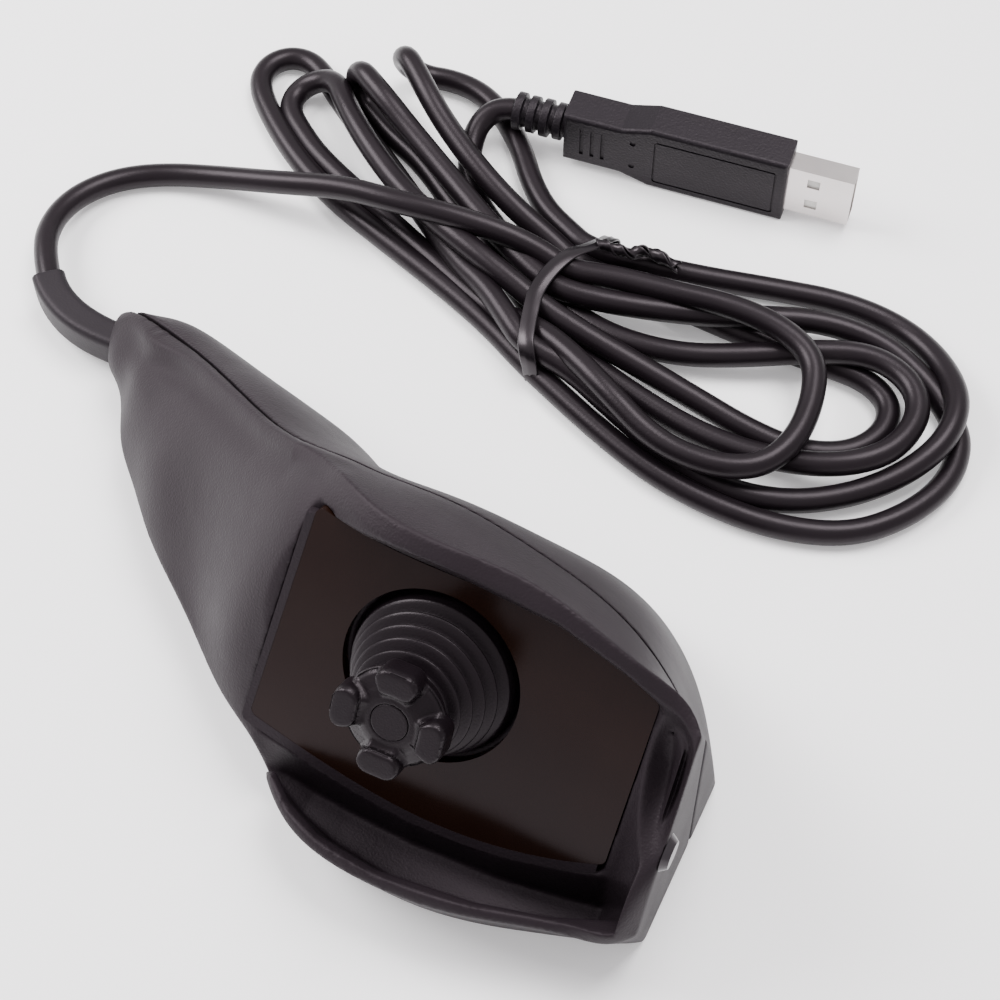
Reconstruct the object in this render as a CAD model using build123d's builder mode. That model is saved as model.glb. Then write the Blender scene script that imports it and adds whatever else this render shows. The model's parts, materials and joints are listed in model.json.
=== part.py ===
from build123d import *

import math
import os

# A corded thumb-stick pointing device: a swept hand-held body with a steep smoked panel and a trough below
# it, a rubber-booted two-axis stick that also presses, and a USB cord tied in a hank.
#
# Frame: +X along the panel's lower edge towards the flat end, -Y the side that the panel faces, +Z up.
# The origin is on the table, under the middle of the body. All sizes are in millimetres.

os.makedirs("parts", exist_ok=True)

# ---------------------------------------------------------------- driving dimensions

WALL = 2.2  # moulded shell thickness
FOOT = 0.8  # height that the feet lift the shells
BASE_T = 2.0  # base plate thickness
SEAM_GAP = 0.35  # shadow gap between the two shells

HOLE_X, HOLE_Y, HOLE_Z = 23.6, -14.6, 34.9  # centre of the stick's hole, on the panel's face
PANEL_TILT = 58.8  # panel's angle from the table, degrees
HOLE_V = 19.8  # the hole's height above the panel's lower corners, along the panel
HOLE_R = 15.1
WINDOW_T = 2.0
POCKET = 2.2  # depth of the window's seat

PIVOT = -9.0  # the gimbal's height on the stick axis, from the panel's face
RUN = 0.05  # radial running clearance of pins and shaft
SHAFT_R = 2.0
PIN_R = 1.0
HOUSING_R = 15.5
BOARD_H = -23.9  # back face of the circuit board on the stick axis
BOARD_T = 1.6

CORD_D = 4.7
HANK_H = 14.5
TIE_W, TIE_T = 3.2, 0.8

PLUG_ANGLE = 5.8  # the plug's heading on the table, degrees
PLUG_START = (-24.9, 122.6)
PLUG_Z = 8.0
RELIEF_L, BODY_L, SHELL_L = 11.4, 46.0, 13.0
USB_W, USB_T = 12.0, 4.5

NORMAL = Vector(0, -math.sin(math.radians(PANEL_TILT)), math.cos(math.radians(PANEL_TILT)))
UP = Vector(0, math.cos(math.radians(PANEL_TILT)), math.sin(math.radians(PANEL_TILT)))
HOLE = Vector(HOLE_X, HOLE_Y, HOLE_Z)


def save(part, name):
    """Labels a finished piece and writes it as a STEP file of its own."""
    part.label = name
    export_step(part, f"parts/{name}.step")


def face_plane(height=0.0):
    """The plane parallel to the panel at a height above its face, centred on the stick's axis."""
    return Plane(origin=HOLE + NORMAL * height, x_dir=(1, 0, 0), z_dir=NORMAL)


def panel_point(v, w):
    """(y, z) of a point v up the panel from its lower corners and w in front of its face."""
    place = HOLE + UP * (v - HOLE_V) + NORMAL * w
    return place.Y, place.Z


# ---------------------------------------------------------------- body sections

# Each section across the body: x, then (y, z) of the foot of the front wall, the belly, two points up the
# front face, the two edges of the lip, two points down the back, and the foot of the back wall.
SECTIONS = [
    (
        -67.5, (34.5, 0.8), (33.5, 6), (34.0, 9.5), (35.3, 12.5), (37.5, 14.5),
        (39.5, 14.5), (42.0, 11), (42.6, 6), (42.5, 0.8),
    ),
    (
        -60, (27.5, 0.8), (26.0, 9), (28.0, 14), (31.5, 18), (35.8, 20.5),
        (38.0, 20.5), (41.0, 15), (42.5, 8), (42.5, 0.8),
    ),
    (
        -48, (13.0, 0.8), (10.3, 11), (16.0, 18.5), (22.5, 23), (29.6, 26),
        (31.9, 26), (38.0, 21.5), (41.2, 13), (42.5, 0.8),
    ),
    (
        -34, (-1.0, 0.8), (-4.0, 12), (3.5, 22), (11.5, 29.5), (20.0, 33.8),
        (22.5, 33.8), (30.0, 28.5), (36.3, 17), (40.8, 0.8),
    ),
    (
        -20, (-12.5, 0.8), (-15.5, 13), (-8.0, 25), (1.5, 36), (11.0, 42.3),
        (13.5, 42.3), (21.3, 36), (29.5, 24), (37.5, 0.8),
    ),
    (
        -8, (-21.5, 0.8), (-24.5, 13.5), (-17.5, 28), (-6.5, 43.5), (4.8, 49.7),
        (7.3, 49.7), (14.0, 42), (22.5, 29), (33.0, 0.8),
    ),
    (
        -2, (-26.0, 0.8), (-28.5, 14), (-20.8, 24.7), (-6.6, 48.1), (1.6, 52.7),
        (4.2, 53.5), (10.8, 46), (19.0, 32), (31.0, 0.8),
    ),
    (
        6, (-32.0, 0.8), (-36.5, 14.5), (-25.5, 28.7), (-14.5, 42.5), (-3.8, 56.0),
        (-1.2, 57.6), (9.5, 47), (18.0, 33), (30.5, 0.8),
    ),
    (
        14, (-35.5, 0.8), (-40.8, 14.8), (-29.5, 29.0), (-18.2, 43.0), (-6.9, 57.2),
        (-4.5, 59.2), (9.6, 47), (18.8, 32), (31.0, 0.8),
    ),
    (
        26, (-37.5, 0.8), (-42.5, 15.0), (-30.8, 29.1), (-19.1, 43.2), (-7.4, 57.3),
        (-5.2, 59.3), (8.2, 47), (19.4, 30), (31.5, 0.8),
    ),
    (
        42, (-36.0, 0.8), (-41.0, 15.0), (-30.0, 28.4), (-19.0, 41.8), (-8.0, 55.3),
        (-5.8, 57.2), (5.2, 45.5), (18.8, 26.5), (30.0, 0.8),
    ),
    (
        56, (-32.0, 0.8), (-37.5, 15.0), (-28.3, 26.7), (-19.2, 38.3), (-10.0, 50.0),
        (-7.8, 52.0), (0.0, 42.0), (11.5, 24), (21.0, 0.8),
    ),
    (
        67.5, (-27.5, 0.8), (-32.5, 15.0), (-26.3, 24.7), (-20.2, 34.3), (-14.0, 44.0),
        (-11.8, 45.6), (-7.5, 36.5), (-2.5, 22), (3.5, 0.8),
    ),
]

# The seam between the shells, seen from above.
SEAM = [(-67.5, 41.0), (-54, 35.0), (-41, 28.4), (-28, 20.0), (-20, 14.8), (-11, 10.4), (-3, 9.3), (6, 9.6),
        (14, 9.6), (28, 7.8), (43, 4.4), (54, -0.2), (62, -4.4), (67.5, -8.2)]

# The scooped front, as x, the panel's top and bottom along the panel, the trough's inner and outer y at its
# floor, the floor's z, and the inner edge of the outer rim.
SCOOP = [
    (-6, 41.5, -2.0, -34.0, -38.0, 2.0, (-44.0, -2.0)),
    (-1.5, 41.0, -3.0, -28.5, -30.5, 9.0, (-30.6, 9.5)),
    (3, 40.2, -4.0, -27.9, -30.4, 7.0, (-31.0, 14.6)),
    (8, 39.2, -5.2, -28.0, -32.6, 5.0, (-35.2, 14.9)),
    (15, 38.8, -6.4, -28.4, -34.6, 4.2, (-38.4, 15.2)),
    (26, 38.4, -7.7, -29.0, -36.0, 3.9, (-39.9, 15.4)),
    (42, 37.0, -6.9, -28.6, -34.6, 3.9, (-38.4, 15.4)),
    (54, 33.4, -4.1, -27.2, -31.6, 4.2, (-35.6, 15.4)),
    (59.6, 31.0, -2.4, -26.4, -29.4, 4.6, (-33.4, 15.4)),
]
END_WALL_X = 64.6  # inner edge of the rim at the flat end


def hull_section(row, inset=0.0):
    """One closed section face of the body. inset moves every wall inwards."""
    x, front, belly, low, high, lip_a, lip_b, shoulder, back, foot = row
    lean = 0.75 * inset
    floor = front[1] + (inset and -3.0)
    with BuildSketch(Plane.YZ.offset(x)) as section:
        with BuildLine():
            a = (front[0] + inset, floor)
            b = (belly[0] + 1.05 * inset, belly[1] + 0.3 * inset)
            c = (low[0] + lean, low[1] - lean)
            d = (high[0] + lean, high[1] - 1.1 * lean)
            e = (lip_a[0] + 0.25 * inset, lip_a[1] - 2.0 * inset)
            f = (lip_b[0] - 0.35 * inset, lip_b[1] - 2.0 * inset)
            g = (shoulder[0] - 1.1 * lean, shoulder[1] - lean)
            h = (back[0] - inset, back[1] - 0.3 * inset)
            i = (foot[0] - inset, floor)
            Line(a, b)
            Spline(b, c, d, e)
            Line(e, f)
            Spline(f, g, h, i)
            Line(i, a)
        make_face()
    return section


with BuildPart() as hull:
    for row in SECTIONS:
        add(hull_section(row).sketch)
    loft()

with BuildPart() as cavity:
    for index, row in enumerate(SECTIONS):
        ends = {0: row[0] + 3.0, len(SECTIONS) - 1: row[0] - WALL}
        add(hull_section((ends.get(index, row[0]), *row[1:]), WALL).sketch)
    loft()


def scoop_section(x, rows, grow):
    """The scoop's polygon at one x, in the Y-Z plane. grow moves its walls into the body."""
    top, bottom, inner, outer, floor, rim = rows
    sunk = -(POCKET + grow) if grow else 0.0
    floor = -3.0 if grow else floor
    lip = next(s for s in SECTIONS if s[0] >= x)
    lip_y, lip_z = lip[5]
    with BuildSketch(Plane.YZ.offset(x)) as section:
        with BuildLine():
            Polyline(
                (lip_y - 30, lip_z + 30),
                panel_point(top + 3.9 + grow, 5.6 + grow),
                panel_point(top + grow, sunk),
                panel_point(bottom - grow, sunk),
                (inner + grow, floor),
                (outer - grow, floor),
                (rim[0] - grow, rim[1]),
                (rim[0] - 30, rim[1] + 20),
                close=True,
            )
        make_face()
    return section


def scoop(grow=0.0):
    """The open space in front of the panel and in the trough."""
    with BuildPart() as body:
        for x, *rows in SCOOP:
            add(scoop_section(x, rows, grow).sketch)
        loft(ruled=True)
    x, *last = SCOOP[-1]
    with BuildPart() as end:
        add(scoop_section(x, last, grow).sketch)
        with BuildSketch(Plane.YZ.offset(END_WALL_X + grow)):
            with BuildLine():
                Polyline(
                    (-44, 76),
                    panel_point(32.5, 5.6 + grow),
                    panel_point(28.5, 4.6),
                    panel_point(2.0, 5.0),
                    (-29.0, 14.0),
                    (-30.0, 14.0),
                    (-31.6 - grow, 15.4),
                    (-61, 35),
                    close=True,
                )
            make_face()
        loft(ruled=True)
    return body, end


open_scoop, open_end = scoop()
wall_scoop, wall_end = scoop(WALL)

# ---------------------------------------------------------------- panel outlines, on the panel's face

WINDOW_LOWER = [(-28.3, -19.8), (-12, -23.7), (5.9, -25.8), (21.4, -24.3), (35.0, -20.0)]
WINDOW_UPPER = [(36.0, 11.2), (24.9, 15.6), (12.4, 18.2), (-0.8, 18.6), (-15.6, 19.5), (-24.1, 21.4)]
FRAME_LEFT, FRAME_LOW = 1.4, 1.7  # widths of the frame's side strip and of its lower bead
CORNER_R = 1.4
FRAME_END_X, FRAME_TOP_Y = 34.0, 19.6  # where the frame's two arms end


def panel_outline(left=0.0, low=0.0):
    """The window's outline, grown to the left and downwards."""
    lower = [(x - left * (x < -20), y - low) for x, y in WINDOW_LOWER]
    upper = [(x - left * (x < -20), y) for x, y in WINDOW_UPPER]
    with BuildSketch() as outline:
        with BuildLine():
            Spline(*lower)
            Line(lower[-1], upper[0])
            Spline(*upper)
            Line(upper[-1], lower[0])
        make_face()
        fillet(outline.vertices(), CORNER_R)
    return outline.sketch


window_outline = panel_outline()
frame_outline = panel_outline(FRAME_LEFT, FRAME_LOW)

with BuildPart() as window_panel:
    with BuildSketch(face_plane(-WINDOW_T - 0.05)):
        add(window_outline)
        Circle(HOLE_R, mode=Mode.SUBTRACT)
    extrude(amount=WINDOW_T)


def disc(low, high, radius, bore=0.0, places=((0, 0),)):
    """Round plates or tubes along the stick's axis, between two heights above the panel's face."""
    with BuildPart() as piece:
        with BuildSketch(face_plane(low)):
            with Locations(*places):
                Circle(radius)
                if bore:
                    Circle(bore, mode=Mode.SUBTRACT)
        extrude(amount=high - low)
    return piece.part


def cross_bar(direction, inner, outer, radius):
    """Two round bars across the stick's axis at the pivot, one each side."""
    with BuildPart() as piece:
        for side in (1, -1):
            start = HOLE + NORMAL * PIVOT + direction * (side * inner)
            with BuildSketch(Plane(origin=start, z_dir=direction * side)):
                Circle(radius)
            extrude(amount=outer - inner)
    return piece.part


def upright(x, y, low, high, radius):
    """A vertical round bar."""
    with BuildPart() as piece:
        with BuildSketch(Plane.XY.offset(low)):
            with Locations((x, y)):
                Circle(radius)
        extrude(amount=high - low)
    return piece.part


ACROSS = Vector(1, 0, 0)

# ---------------------------------------------------------------- shells

BOARD_POSTS = [(10.5, 7.0), (-10.5, 7.0), (10.5, -9.0), (-10.5, -9.0)]
FLANGE_R, FLANGE_SCREW_R = 20.4, 18.4
FLANGE_SCREWS = [
    (FLANGE_SCREW_R * math.cos(a), FLANGE_SCREW_R * math.sin(a))
    for a in (math.radians(45 + 90 * k) for k in range(4))
]
WALL_BACK = -(POCKET + WALL)  # back of the wall behind the window
BOOT_SEAT = 1.2  # room for the bellows' flange behind that wall
BOOT_FLANGE_R = 16.8
FRONT_POSTS, BACK_POSTS = [(-36, 14), (53, -17)], [(-8, 24), (45, 17)]
POST_R, SCREW_R = 3.0, 0.9
PLATE_TOP = FOOT + BASE_T
FEET = [(-52, 32), (-20, 3), (9, -18), (54, -8), (36, 20)]
FOOT_R, FOOT_SUNK = 4.5, 0.3

TAIL_X, BOOT_Y, BOOT_Z = -67.5, 38.2, 6.1
BOOT_W, BOOT_H = 6.0, 7.4
SLOT_GAP = 0.1  # clearance round the boot in the tail

with BuildPart() as seat:
    with BuildSketch(face_plane(-POCKET)):
        add(frame_outline + window_outline)
    extrude(amount=POCKET + 3)

carved = hull.part - open_scoop.part - open_end.part - seat.part
inner = cavity.part - wall_scoop.part - wall_end.part

seam_solids = []
for shift in (-SEAM_GAP, 0.0):
    with BuildPart() as behind:
        with BuildSketch(Plane.XY.offset(-1)):
            with BuildLine():
                line = Spline(*[(x, y + shift) for x, y in SEAM])
                right_y = (line @ 1).Y
                left_y = (line @ 0).Y
                Polyline(line @ 1, (70, right_y), (70, 60), (-70, 60), (-70, left_y), line @ 0)
            make_face()
        extrude(amount=70)
    seam_solids.append(behind.part)

with BuildPart() as tail_slot:
    with BuildSketch(Plane.YZ.offset(TAIL_X - 1)):
        with Locations((BOOT_Y, BOOT_Z)):
            Rectangle(BOOT_W + 2 * SLOT_GAP, BOOT_H + 2 * SLOT_GAP)
    extrude(amount=6)


def posts(places):
    """Screw posts from the base plate up into the carved body."""
    solid = Part() + [upright(x, y, PLATE_TOP, 60, POST_R) for x, y in places]
    return solid & carved


def pilots(places):
    return Part() + [upright(x, y, PLATE_TOP - 1, PLATE_TOP + 8, SCREW_R) for x, y in places]


thin_wall = carved - inner - disc(-8, 2, HOLE_R - 0.7)
front_shell = thin_wall - seam_solids[0] - tail_slot.part
front_shell += posts(FRONT_POSTS) - seam_solids[0]
front_shell += disc(WALL_BACK - BOOT_SEAT, WALL_BACK, FLANGE_R - 0.4, BOOT_FLANGE_R + 0.1)
front_shell -= pilots(FRONT_POSTS)
front_shell -= disc(WALL_BACK - BOOT_SEAT, -POCKET - 0.4, SCREW_R, places=FLANGE_SCREWS)
back_shell = (thin_wall & seam_solids[1]) - tail_slot.part
back_shell += posts(BACK_POSTS) & seam_solids[1]
back_shell -= pilots(BACK_POSTS)

with BuildPart() as slab:
    with BuildSketch(Plane.XY.offset(FOOT)):
        Rectangle(200, 200)
    extrude(amount=BASE_T)
screw_places = FRONT_POSTS + BACK_POSTS
base_plate = slab.part & inner
base_plate -= [upright(x, y, FOOT, PLATE_TOP, SCREW_R + 0.2) for x, y in screw_places]
base_plate -= [upright(x, y, FOOT, FOOT + 1.2, 2.1) for x, y in screw_places]
base_plate -= [upright(x, y, FOOT, FOOT + FOOT_SUNK, FOOT_R) for x, y in FEET]


def base_screw(x, y):
    """A countersunk-style screw, head down."""
    return upright(x, y, FOOT + 0.2, FOOT + 1.2, 2.0) + upright(x, y, FOOT + 1.2, PLATE_TOP + 6, SCREW_R)


save(front_shell, "front_shell")
save(back_shell, "back_shell")
save(base_plate, "base_plate")
save(Compound(children=[base_screw(x, y) for x, y in screw_places]), "base_screws")
save(Compound(children=[upright(x, y, 0, FOOT + FOOT_SUNK, FOOT_R) for x, y in FEET]), "rubber_feet")
save(window_panel.part, "window_panel")

with BuildPart() as window_frame:
    with BuildSketch(face_plane(-POCKET)):
        add(frame_outline)
        add(window_outline, mode=Mode.SUBTRACT)
        with Locations((FRAME_END_X - 50, FRAME_TOP_Y - 50)):
            Rectangle(100, 100, mode=Mode.INTERSECT)
    extrude(amount=POCKET)
save(window_frame.solids().sort_by(SortBy.VOLUME)[-1], "window_frame")

with BuildPart() as end_bumper:
    with BuildSketch(Plane.YZ.offset(SECTIONS[-1][0])):
        with Locations((-22.5, 26)):
            Circle(3.2)
    extrude(amount=1.2, taper=35)
save(end_bumper.part, "end_bumper")

# ---------------------------------------------------------------- stick and its housing


def turned(profile):
    """A solid turned about the stick's axis, from points (radius, height above the panel's face)."""
    with BuildPart() as piece:
        axis_plane = Plane(origin=HOLE, x_dir=ACROSS, z_dir=ACROSS.cross(NORMAL))
        with BuildSketch(axis_plane):
            with BuildLine():
                Polyline(*profile, close=True)
            make_face()
        revolve(axis=Axis(HOLE, NORMAL))
    return piece.part


def ball(radius):
    """A ball about the gimbal's pivot."""
    with BuildPart() as piece:
        with Locations(Location(HOLE + NORMAL * PIVOT)):
            Sphere(radius)
    return piece.part


RINGS = [(13.5, 0.2), (12.5, 2.8), (11.4, 5.2), (10.2, 7.4), (9.0, 9.4)]  # crests of the bellows
FOLD_DEPTH, FOLD_HALF, SKIN = 1.9, 0.55, 0.9
CAP_LOW, CAP_HIGH, CAP_R, DISC_R = 11.4, 16.6, 8.6, 3.1

outside = [
    (BOOT_FLANGE_R, WALL_BACK - BOOT_SEAT),
    (BOOT_FLANGE_R, WALL_BACK),
    (13.9, WALL_BACK),
    (13.9, -1.6),
]
for (radius, height), following in zip(RINGS, RINGS[1:] + [(8.0, 11.2)]):
    outside += [(radius, height - FOLD_HALF), (radius, height + FOLD_HALF)]
    outside += [(radius - FOLD_DEPTH, (height + following[1]) / 2)]
outside += [(6.4, CAP_LOW - 0.2), (6.4, CAP_LOW)]
inside = [(radius - SKIN, height) for radius, height in outside[2:-2]]
inside[0] = (13.0, WALL_BACK - BOOT_SEAT)
collar = [(SHAFT_R, CAP_LOW), (SHAFT_R, CAP_LOW - SKIN), (5.2, CAP_LOW - SKIN)]
bellows = turned(outside + collar + inside[::-1])
save(bellows, "bellows")

cap_core = turned([
    (SHAFT_R, CAP_LOW),
    (6.6, CAP_LOW),
    (CAP_R - 0.4, CAP_LOW + 1.0),
    (CAP_R, CAP_LOW + 2.2),
    (CAP_R - 0.8, CAP_HIGH - 1.9),
    (5.4, CAP_HIGH - 0.9),
    (DISC_R, CAP_HIGH - 0.7),
    (DISC_R, CAP_HIGH - 2.0),
    (SHAFT_R, CAP_HIGH - 2.0),
])
with BuildPart() as lobes:
    with BuildSketch(face_plane(CAP_LOW + 1.4)):
        with PolarLocations(7.2, 4):
            SlotCenterToCenter(2.8, 4.4, rotation=90)
    extrude(amount=CAP_HIGH + 0.6 - CAP_LOW - 1.4)
    lobe_tops = lobes.faces().filter_by(lambda f: f.normal_at().dot(NORMAL) > 0.99)
    fillet(lobe_tops.edges(), 1.3)
save(cap_core + (lobes.part - disc(CAP_LOW, CAP_HIGH + 1, 4.2)), "stick_cap")
save(disc(CAP_HIGH - 2.0, CAP_HIGH - 0.7, DISC_R - 0.02), "cap_disc")

SHAFT_END = PIVOT - 6.5
shaft = disc(SHAFT_END - 1, CAP_HIGH - 2.0, SHAFT_R)
shaft = (shaft & ball(6.5)) + disc(PIVOT, CAP_HIGH - 2.0, SHAFT_R) + disc(-2.5, -1.5, 3.2)
shaft -= disc(SHAFT_END - 1, SHAFT_END + 2.0, 1.2)
save(shaft, "stick_shaft")
save(disc(SHAFT_END + 0.4, SHAFT_END + 2.0, 1.2), "shaft_magnet")
save(disc(PIVOT - 4.2, PIVOT - 3.6, 3.4, SHAFT_R), "shaft_clip")

carrier = disc(PIVOT - 3.5, PIVOT + 3.5, 4.6, SHAFT_R + RUN) - cross_bar(UP, 3.0, 6, PIN_R)
save(carrier, "stick_carrier")
save(cross_bar(UP, 3.0, 10.4, PIN_R), "carrier_pins")

gimbal = disc(PIVOT - 1.9, PIVOT + 1.9, 10.6, 7.6)
gimbal -= cross_bar(UP, 5, 12, PIN_R + RUN)
gimbal -= cross_bar(ACROSS, 8.6, 12, PIN_R)
save(gimbal, "gimbal_ring")
save(cross_bar(ACROSS, 8.6, HOUSING_R - 0.2, PIN_R), "gimbal_pins")

with BuildPart() as return_spring:
    with BuildLine():
        turns = Helix(pitch=0.8, height=2.4, radius=2.75, center=HOLE - NORMAL * 5.2, direction=NORMAL)
    with BuildSketch(Plane(origin=turns @ 0, z_dir=turns % 0)):
        Circle(0.2)
    sweep(is_frenet=True)
save(return_spring.part, "return_spring")

FLOOR_LOW, FLOOR_HIGH = -20.0, -18.5
BOARD_FRONT = BOARD_H + BOARD_T
FLANGE_BACK = WALL_BACK - BOOT_SEAT - 2.0
housing = disc(FLOOR_LOW, WALL_BACK - BOOT_SEAT, HOUSING_R, 13.5)
housing += disc(FLOOR_LOW, FLOOR_HIGH, HOUSING_R, 2.5)
housing += disc(FLANGE_BACK, WALL_BACK - BOOT_SEAT, FLANGE_R, 14.0)
housing += disc(BOARD_FRONT, FLOOR_LOW, 2.2, places=BOARD_POSTS)
housing -= cross_bar(ACROSS, 12, 17, PIN_R + RUN)
housing -= disc(FLANGE_BACK - 1, WALL_BACK, SCREW_R + 0.2, places=FLANGE_SCREWS)
housing -= disc(BOARD_FRONT - 1, FLOOR_HIGH - 0.3, 0.8, places=BOARD_POSTS)
save(housing, "stick_housing")

flange_screws = disc(FLANGE_BACK, -POCKET - 0.5, SCREW_R, places=FLANGE_SCREWS)
flange_screws += disc(FLANGE_BACK - 1.2, FLANGE_BACK, 1.8, places=FLANGE_SCREWS)
save(flange_screws, "housing_screws")

plunger = disc(-17.9, -13.3, 5.0) + disc(FLOOR_LOW - 0.2, -17.9, 2.4) - ball(6.7)
save(plunger, "press_plunger")

# ---------------------------------------------------------------- circuit board


def block(width, height, low, high, place=(0, 0)):
    """A rectangular block standing on a plane parallel to the panel."""
    with BuildPart() as piece:
        with BuildSketch(face_plane(low)):
            with Locations(place):
                Rectangle(width, height)
        extrude(amount=high - low)
    return piece.part


board = block(30, 28, BOARD_H, BOARD_FRONT, (0, -4))
board -= disc(BOARD_H - 1, BOARD_FRONT + 1, 1.0, places=BOARD_POSTS)
save(board, "circuit_board")
board_screws = disc(BOARD_H, BOARD_FRONT + 2.4, 0.8, places=BOARD_POSTS)
board_screws += disc(BOARD_H - 1.0, BOARD_H, 1.6, places=BOARD_POSTS)
save(board_screws, "board_screws")
switch = block(5.6, 5.6, BOARD_FRONT, BOARD_FRONT + 1.0) + disc(BOARD_FRONT + 1.0, BOARD_FRONT + 1.4, 1.5)
save(switch, "press_switch")
sensors = [block(3, 3, BOARD_FRONT, BOARD_FRONT + 0.9, place) for place in ((6.2, 0), (0, 6.2))]
save(Compound(children=sensors), "tilt_sensors")
save(block(7, 7, BOARD_H - 1.0, BOARD_H, (3.5, -3)), "controller_chip")
SMALL_PARTS = [(10.5, -1), (10.5, -4), (-3, 6), (0, 6), (3, 6), (-4, 0), (-4, -3), (6, -11)]
small_parts = [block(2.0, 1.25, BOARD_H - 0.9, BOARD_H, place) for place in SMALL_PARTS]
save(Compound(children=small_parts), "board_parts")
CONNECTOR = (-9.0, -14.0)
CONNECTOR_T = 4.0
save(block(8, 5, BOARD_H - CONNECTOR_T, BOARD_H, CONNECTOR), "cable_connector")

# ---------------------------------------------------------------- cable inside the body


def rounded_route(points):
    """Straight runs joined by the largest even arcs, and the arcs' radii."""
    radii = []
    for before, here, after in zip(points, points[1:], points[2:]):
        run_in, run_out = Vector(here) - Vector(before), Vector(after) - Vector(here)
        half_turn = math.radians(run_in.get_angle(run_out)) / 2
        radii.append(0.45 * min(run_in.length, run_out.length) / math.tan(half_turn))
    return radii


def tube(points, diameter, name):
    """A round cord along a route of points, with its radii printed."""
    radii = rounded_route(points)
    with BuildPart() as piece:
        with BuildLine() as path:
            FilletPolyline(*points, radius=radii)
        wire = path.wires()[0]
        with BuildSketch(Plane(origin=wire @ 0, z_dir=wire % 0)):
            Circle(diameter / 2)
        sweep(path=wire)
    share = piece.part.volume / (math.pi * diameter**2 / 4 * wire.length)
    print(name, "length", round(wire.length, 1), "volume share", round(share, 4))
    print("radii", [round(r, 1) for r in radii])
    return piece.part


plug_in = HOLE + ACROSS * CONNECTOR[0] + UP * CONNECTOR[1] + NORMAL * (BOARD_H - CONNECTOR_T)
INNER_ROUTE = [
    tuple(plug_in),
    tuple(plug_in - NORMAL * 6.0),
    (8.0, 12.5, 5.2),
    (-2.0, 14.5, 5.6),
    (-14.0, 15.8, 6.0),
    (-26.0, 20.5, 6.0),
    (-37.0, 26.6, 6.0),
    (-46.0, 32.4, 6.0),
    (-54.5, 36.8, 6.0),
    (-59.5, BOOT_Y, BOOT_Z),
    (-63.0, BOOT_Y, BOOT_Z),
]
INNER_D = 3.2
save(tube(INNER_ROUTE, INNER_D, "inner_cable"), "inner_cable")

clamp_from, clamp_to = Vector(INNER_ROUTE[6]), Vector(INNER_ROUTE[7])
along = (clamp_to - clamp_from).normalized()
clamp_mid = (clamp_from + clamp_to) * 0.5
sideways = Vector(0, 0, 1).cross(along)
clamp_screws = [clamp_mid + sideways * side for side in (4.6, -4.6)]
with BuildPart() as clamp:
    with BuildSketch(Plane(origin=(clamp_mid.X, clamp_mid.Y, PLATE_TOP), x_dir=along, z_dir=(0, 0, 1))):
        Rectangle(4, 12.5)
    extrude(amount=6.2)
with BuildPart() as clamp_channel:
    with BuildSketch(Plane(origin=clamp_mid - along * 4, z_dir=along)):
        Circle(INNER_D / 2 + 0.1)
    extrude(amount=8)
clamp_block = clamp.part - clamp_channel.part
clamp_block -= [upright(p.X, p.Y, PLATE_TOP - 1, PLATE_TOP + 7, 0.9) for p in clamp_screws]
save(clamp_block, "cable_clamp")
CLAMP_TOP = PLATE_TOP + 6.2
clamp_fixings = [
    upright(p.X, p.Y, PLATE_TOP, CLAMP_TOP, 0.9) + upright(p.X, p.Y, CLAMP_TOP, CLAMP_TOP + 1, 1.7)
    for p in clamp_screws
]
save(Compound(children=clamp_fixings), "clamp_screws")

# ---------------------------------------------------------------- strain relief at the tail

# Centre line of the relief outside the tail, as (x, y, heading in degrees, width, height).
BOOT_PATH = [
    (-64.5, 38.2, 180.0, 6.0, 7.4),
    (-69.0, 38.2, 180.0, 6.0, 7.4),
    (-76.0, 38.9, 168.0, 6.2, 7.4),
    (-82.4, 41.2, 150.0, 6.2, 7.4),
    (-88.0, 45.6, 131.0, 6.4, 7.2),
]
with BuildPart() as boot:
    for x, y, heading, width, height in BOOT_PATH:
        forward = Vector(1, 0, 0).rotate(Axis.Z, heading)
        side = forward.cross(Vector(0, 0, 1))
        with BuildSketch(Plane(origin=(x, y, BOOT_Z), x_dir=side, z_dir=forward)):
            RectangleRounded(width, height, 1.4)
    loft()
with BuildPart() as boot_flange:
    with BuildSketch(Plane.YZ.offset(-64.5)):
        with Locations((BOOT_Y, BOOT_Z)):
            Rectangle(6.0, 6.4)
    extrude(amount=1.5)
save(boot.part + boot_flange.part, "strain_relief")

# ---------------------------------------------------------------- cord and hank

CORD_ROUTE = [
    (-88.0, 45.6, BOOT_Z),
    (-93.6, 52.042, BOOT_Z),
    (-96.9, 60.6, 4.4),
    (-96.2, 69.0, 3.2),
    (-91.6, 76.4, 2.5),
    (-83.8, 81.6, 2.4),
    (-72.4, 84.6, 3.8),
    (-59.0, 85.6, 7.6),
    (-46.0, 87.4, 10.8),
]
save(tube(CORD_ROUTE, CORD_D, "cord_lead"), "cord_lead")

HANK_OUTLINE = [
    (-80.8, 119.0), (-78.0, 107.0), (-66.0, 96.0), (-52.0, 87.8), (-38.0, 82.4), (-20.0, 75.6), (0.8, 66.2),
    (18.0, 59.4), (33.0, 53.2), (50.0, 51.2), (67.0, 54.2), (79.0, 63.5), (85.8, 80.0), (82.5, 99.5),
    (68.0, 109.8), (48.0, 110.8), (24.0, 105.4), (0.8, 103.2), (-9.0, 109.0), (-20.0, 121.0),
    (-34.0, 131.0), (-52.0, 130.0), (-68.0, 125.0),
]
HANK_TOP = [(-24.0, HANK_H), (-6.0, 11.0), (9.0, 11.0), (20.0, 12.6), (95.0, 12.6)]
with BuildPart() as hank:
    with BuildSketch():
        with BuildLine():
            Spline(*HANK_OUTLINE, periodic=True)
        make_face()
    extrude(amount=HANK_H)

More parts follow.
